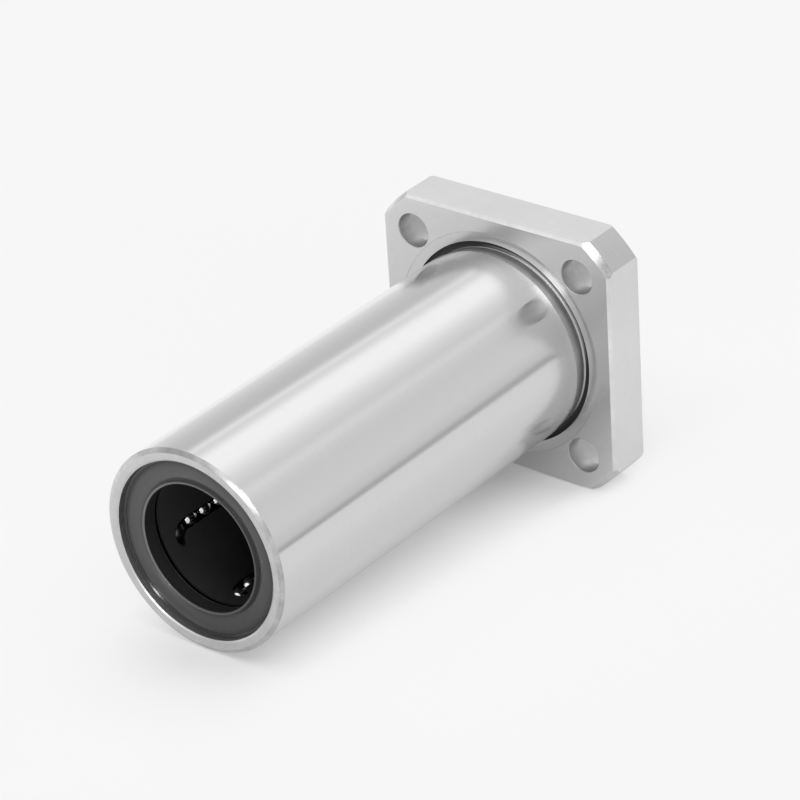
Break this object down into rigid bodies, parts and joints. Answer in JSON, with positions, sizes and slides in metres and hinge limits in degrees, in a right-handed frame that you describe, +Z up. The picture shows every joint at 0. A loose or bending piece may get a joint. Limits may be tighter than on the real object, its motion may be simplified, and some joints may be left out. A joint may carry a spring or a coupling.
{
  "type": "square flange linear bearing",
  "caption": "Long linear ball bearing with a square mounting flange: a ground steel sleeve with recirculating ball circuits in resin cages, guiding a round shaft between rubber lip seals.",
  "frame": {"origin": "centre of the bolt circle, on the flange's seating face and on the bore axis", "axes": "+Y along the bore from the tube's free end towards the flange's outer face, +X and +Z across the flange's flats, +Z up as it lies on its side"},
  "size_m": [0.042, 0.08, 0.042],
  "materials": {
    "ground_steel": "fine-ground and polished tube, satin machined flange",
    "seal_rubber": "satin moulded nitrile rubber",
    "cage_resin": "black moulded resin",
    "ring_steel": "punched steel, oiled",
    "ball_steel": "polished bearing steel"
  },
  "bodies": {
    "sleeve": {"flanged_sleeve": "ground_steel", "front_seal": "seal_rubber", "rear_seal": "seal_rubber", "front_side_ring": "ring_steel", "rear_side_ring": "ring_steel", "front_cage": "cage_resin", "rear_cage": "cage_resin"},
    "front_loaded_balls": {"front_loaded_row_1": "ball_steel", "front_loaded_row_2": "ball_steel", "front_loaded_row_3": "ball_steel", "front_loaded_row_4": "ball_steel", "front_loaded_row_5": "ball_steel"},
    "front_return_balls": {"front_return_row_1": "ball_steel", "front_return_row_2": "ball_steel", "front_return_row_3": "ball_steel", "front_return_row_4": "ball_steel", "front_return_row_5": "ball_steel"},
    "front_turn_near_front_1_balls": {"front_turn_near_front_1": "ball_steel"},
    "front_turn_near_front_2_balls": {"front_turn_near_front_2": "ball_steel"},
    "front_turn_near_front_3_balls": {"front_turn_near_front_3": "ball_steel"},
    "front_turn_near_front_4_balls": {"front_turn_near_front_4": "ball_steel"},
    "front_turn_near_front_5_balls": {"front_turn_near_front_5": "ball_steel"},
    "front_turn_near_flange_1_balls": {"front_turn_near_flange_1": "ball_steel"},
    "front_turn_near_flange_2_balls": {"front_turn_near_flange_2": "ball_steel"},
    "front_turn_near_flange_3_balls": {"front_turn_near_flange_3": "ball_steel"},
    "front_turn_near_flange_4_balls": {"front_turn_near_flange_4": "ball_steel"},
    "front_turn_near_flange_5_balls": {"front_turn_near_flange_5": "ball_steel"},
    "rear_loaded_balls": {"rear_loaded_row_1": "ball_steel", "rear_loaded_row_2": "ball_steel", "rear_loaded_row_3": "ball_steel", "rear_loaded_row_4": "ball_steel", "rear_loaded_row_5": "ball_steel"},
    "rear_return_balls": {"rear_return_row_1": "ball_steel", "rear_return_row_2": "ball_steel", "rear_return_row_3": "ball_steel", "rear_return_row_4": "ball_steel", "rear_return_row_5": "ball_steel"},
    "rear_turn_near_front_1_balls": {"rear_turn_near_front_1": "ball_steel"},
    "rear_turn_near_front_2_balls": {"rear_turn_near_front_2": "ball_steel"},
    "rear_turn_near_front_3_balls": {"rear_turn_near_front_3": "ball_steel"},
    "rear_turn_near_front_4_balls": {"rear_turn_near_front_4": "ball_steel"},
    "rear_turn_near_front_5_balls": {"rear_turn_near_front_5": "ball_steel"},
    "rear_turn_near_flange_1_balls": {"rear_turn_near_flange_1": "ball_steel"},
    "rear_turn_near_flange_2_balls": {"rear_turn_near_flange_2": "ball_steel"},
    "rear_turn_near_flange_3_balls": {"rear_turn_near_flange_3": "ball_steel"},
    "rear_turn_near_flange_4_balls": {"rear_turn_near_flange_4": "ball_steel"},
    "rear_turn_near_flange_5_balls": {"rear_turn_near_flange_5": "ball_steel"}
  },
  "joints": [
    {"name": "front_loaded_slide", "type": "slide", "parent": "sleeve", "child": "front_loaded_balls", "axis": [0, 1, 0], "range_m": [-0.0016, 0.0016]},
    {"name": "front_return_slide", "type": "slide", "parent": "sleeve", "child": "front_return_balls", "axis": [0, 1, 0], "range_m": [-0.0016, 0.0016]},
    {"name": "front_turn_near_front_1_spin", "type": "hinge", "parent": "sleeve", "child": "front_turn_near_front_1_balls", "pos_m": [0.00204, -0.06264, -0.01139], "axis": [0, 0, -1], "range_deg": [-45, 45]},
    {"name": "front_turn_near_front_2_spin", "type": "hinge", "parent": "sleeve", "child": "front_turn_near_front_2_balls", "pos_m": [0.01146, -0.06264, -0.00158], "axis": [0.9511, 0, -0.309], "range_deg": [-45, 45]},
    {"name": "front_turn_near_front_3_spin", "type": "hinge", "parent": "sleeve", "child": "front_turn_near_front_3_balls", "pos_m": [0.00505, -0.06264, 0.01041], "axis": [0.5878, 0, 0.809], "range_deg": [-45, 45]},
    {"name": "front_turn_near_front_4_spin", "type": "hinge", "parent": "sleeve", "child": "front_turn_near_front_4_balls", "pos_m": [-0.00834, -0.06264, 0.00802], "axis": [-0.5878, 0, 0.809], "range_deg": [-45, 45]},
    {"name": "front_turn_near_front_5_spin", "type": "hinge", "parent": "sleeve", "child": "front_turn_near_front_5_balls", "pos_m": [-0.0102, -0.06264, -0.00545], "axis": [-0.9511, 0, -0.309], "range_deg": [-45, 45]},
    {"name": "front_turn_near_flange_1_spin", "type": "hinge", "parent": "sleeve", "child": "front_turn_near_flange_1_balls", "pos_m": [0.00204, -0.03706, -0.01139], "axis": [0, 0, -1], "range_deg": [-45, 45]},
    {"name": "front_turn_near_flange_2_spin", "type": "hinge", "parent": "sleeve", "child": "front_turn_near_flange_2_balls", "pos_m": [0.01146, -0.03706, -0.00158], "axis": [0.9511, 0, -0.309], "range_deg": [-45, 45]},
    {"name": "front_turn_near_flange_3_spin", "type": "hinge", "parent": "sleeve", "child": "front_turn_near_flange_3_balls", "pos_m": [0.00505, -0.03706, 0.01041], "axis": [0.5878, 0, 0.809], "range_deg": [-45, 45]},
    {"name": "front_turn_near_flange_4_spin", "type": "hinge", "parent": "sleeve", "child": "front_turn_near_flange_4_balls", "pos_m": [-0.00834, -0.03706, 0.00802], "axis": [-0.5878, 0, 0.809], "range_deg": [-45, 45]},
    {"name": "front_turn_near_flange_5_spin", "type": "hinge", "parent": "sleeve", "child": "front_turn_near_flange_5_balls", "pos_m": [-0.0102, -0.03706, -0.00545], "axis": [-0.9511, 0, -0.309], "range_deg": [-45, 45]},
    {"name": "rear_loaded_slide", "type": "slide", "parent": "sleeve", "child": "rear_loaded_balls", "axis": [0, 1, 0], "range_m": [-0.0016, 0.0016]},
    {"name": "rear_return_slide", "type": "slide", "parent": "sleeve", "child": "rear_return_balls", "axis": [0, 1, 0], "range_m": [-0.0016, 0.0016]},
    {"name": "rear_turn_near_front_1_spin", "type": "hinge", "parent": "sleeve", "child": "rear_turn_near_front_1_balls", "pos_m": [0.00204, -0.02694, -0.01139], "axis": [0, 0, -1], "range_deg": [-45, 45]},
    {"name": "rear_turn_near_front_2_spin", "type": "hinge", "parent": "sleeve", "child": "rear_turn_near_front_2_balls", "pos_m": [0.01146, -0.02694, -0.00158], "axis": [0.9511, 0, -0.309], "range_deg": [-45, 45]},
    {"name": "rear_turn_near_front_3_spin", "type": "hinge", "parent": "sleeve", "child": "rear_turn_near_front_3_balls", "pos_m": [0.00505, -0.02694, 0.01041], "axis": [0.5878, 0, 0.809], "range_deg": [-45, 45]},
    {"name": "rear_turn_near_front_4_spin", "type": "hinge", "parent": "sleeve", "child": "rear_turn_near_front_4_balls", "pos_m": [-0.00834, -0.02694, 0.00802], "axis": [-0.5878, 0, 0.809], "range_deg": [-45, 45]},
    {"name": "rear_turn_near_front_5_spin", "type": "hinge", "parent": "sleeve", "child": "rear_turn_near_front_5_balls", "pos_m": [-0.0102, -0.02694, -0.00545], "axis": [-0.9511, 0, -0.309], "range_deg": [-45, 45]},
    {"name": "rear_turn_near_flange_1_spin", "type": "hinge", "parent": "sleeve", "child": "rear_turn_near_flange_1_balls", "pos_m": [0.00204, -0.00136, -0.01139], "axis": [0, 0, -1], "range_deg": [-45, 45]},
    {"name": "rear_turn_near_flange_2_spin", "type": "hinge", "parent": "sleeve", "child": "rear_turn_near_flange_2_balls", "pos_m": [0.01146, -0.00136, -0.00158], "axis": [0.9511, 0, -0.309], "range_deg": [-45, 45]},
    {"name": "rear_turn_near_flange_3_spin", "type": "hinge", "parent": "sleeve", "child": "rear_turn_near_flange_3_balls", "pos_m": [0.00505, -0.00136, 0.01041], "axis": [0.5878, 0, 0.809], "range_deg": [-45, 45]},
    {"name": "rear_turn_near_flange_4_spin", "type": "hinge", "parent": "sleeve", "child": "rear_turn_near_flange_4_balls", "pos_m": [-0.00834, -0.00136, 0.00802], "axis": [-0.5878, 0, 0.809], "range_deg": [-45, 45]},
    {"name": "rear_turn_near_flange_5_spin", "type": "hinge", "parent": "sleeve", "child": "rear_turn_near_flange_5_balls", "pos_m": [-0.0102, -0.00136, -0.00545], "axis": [-0.9511, 0, -0.309], "range_deg": [-45, 45]}
  ],
  "couplings": [
    {"joint": "front_return_slide", "follows": "front_loaded_slide", "ratio": -1},
    {"joint": "front_turn_near_front_1_spin", "follows": "front_loaded_slide", "rad_per_m": 491.39},
    {"joint": "front_turn_near_front_2_spin", "follows": "front_loaded_slide", "rad_per_m": 491.39},
    {"joint": "front_turn_near_front_3_spin", "follows": "front_loaded_slide", "rad_per_m": 491.39},
    {"joint": "front_turn_near_front_4_spin", "follows": "front_loaded_slide", "rad_per_m": 491.39},
    {"joint": "front_turn_near_front_5_spin", "follows": "front_loaded_slide", "rad_per_m": 491.39},
    {"joint": "front_turn_near_flange_1_spin", "follows": "front_loaded_slide", "rad_per_m": 491.39},
    {"joint": "front_turn_near_flange_2_spin", "follows": "front_loaded_slide", "rad_per_m": 491.39},
    {"joint": "front_turn_near_flange_3_spin", "follows": "front_loaded_slide", "rad_per_m": 491.39},
    {"joint": "front_turn_near_flange_4_spin", "follows": "front_loaded_slide", "rad_per_m": 491.39},
    {"joint": "front_turn_near_flange_5_spin", "follows": "front_loaded_slide", "rad_per_m": 491.39},
    {"joint": "rear_return_slide", "follows": "rear_loaded_slide", "ratio": -1},
    {"joint": "rear_turn_near_front_1_spin", "follows": "rear_loaded_slide", "rad_per_m": 491.39},
    {"joint": "rear_turn_near_front_2_spin", "follows": "rear_loaded_slide", "rad_per_m": 491.39},
    {"joint": "rear_turn_near_front_3_spin", "follows": "rear_loaded_slide", "rad_per_m": 491.39},
    {"joint": "rear_turn_near_front_4_spin", "follows": "rear_loaded_slide", "rad_per_m": 491.39},
    {"joint": "rear_turn_near_front_5_spin", "follows": "rear_loaded_slide", "rad_per_m": 491.39},
    {"joint": "rear_turn_near_flange_1_spin", "follows": "rear_loaded_slide", "rad_per_m": 491.39},
    {"joint": "rear_turn_near_flange_2_spin", "follows": "rear_loaded_slide", "rad_per_m": 491.39},
    {"joint": "rear_turn_near_flange_3_spin", "follows": "rear_loaded_slide", "rad_per_m": 491.39},
    {"joint": "rear_turn_near_flange_4_spin", "follows": "rear_loaded_slide", "rad_per_m": 491.39},
    {"joint": "rear_turn_near_flange_5_spin", "follows": "rear_loaded_slide", "rad_per_m": 491.39}
  ]
}
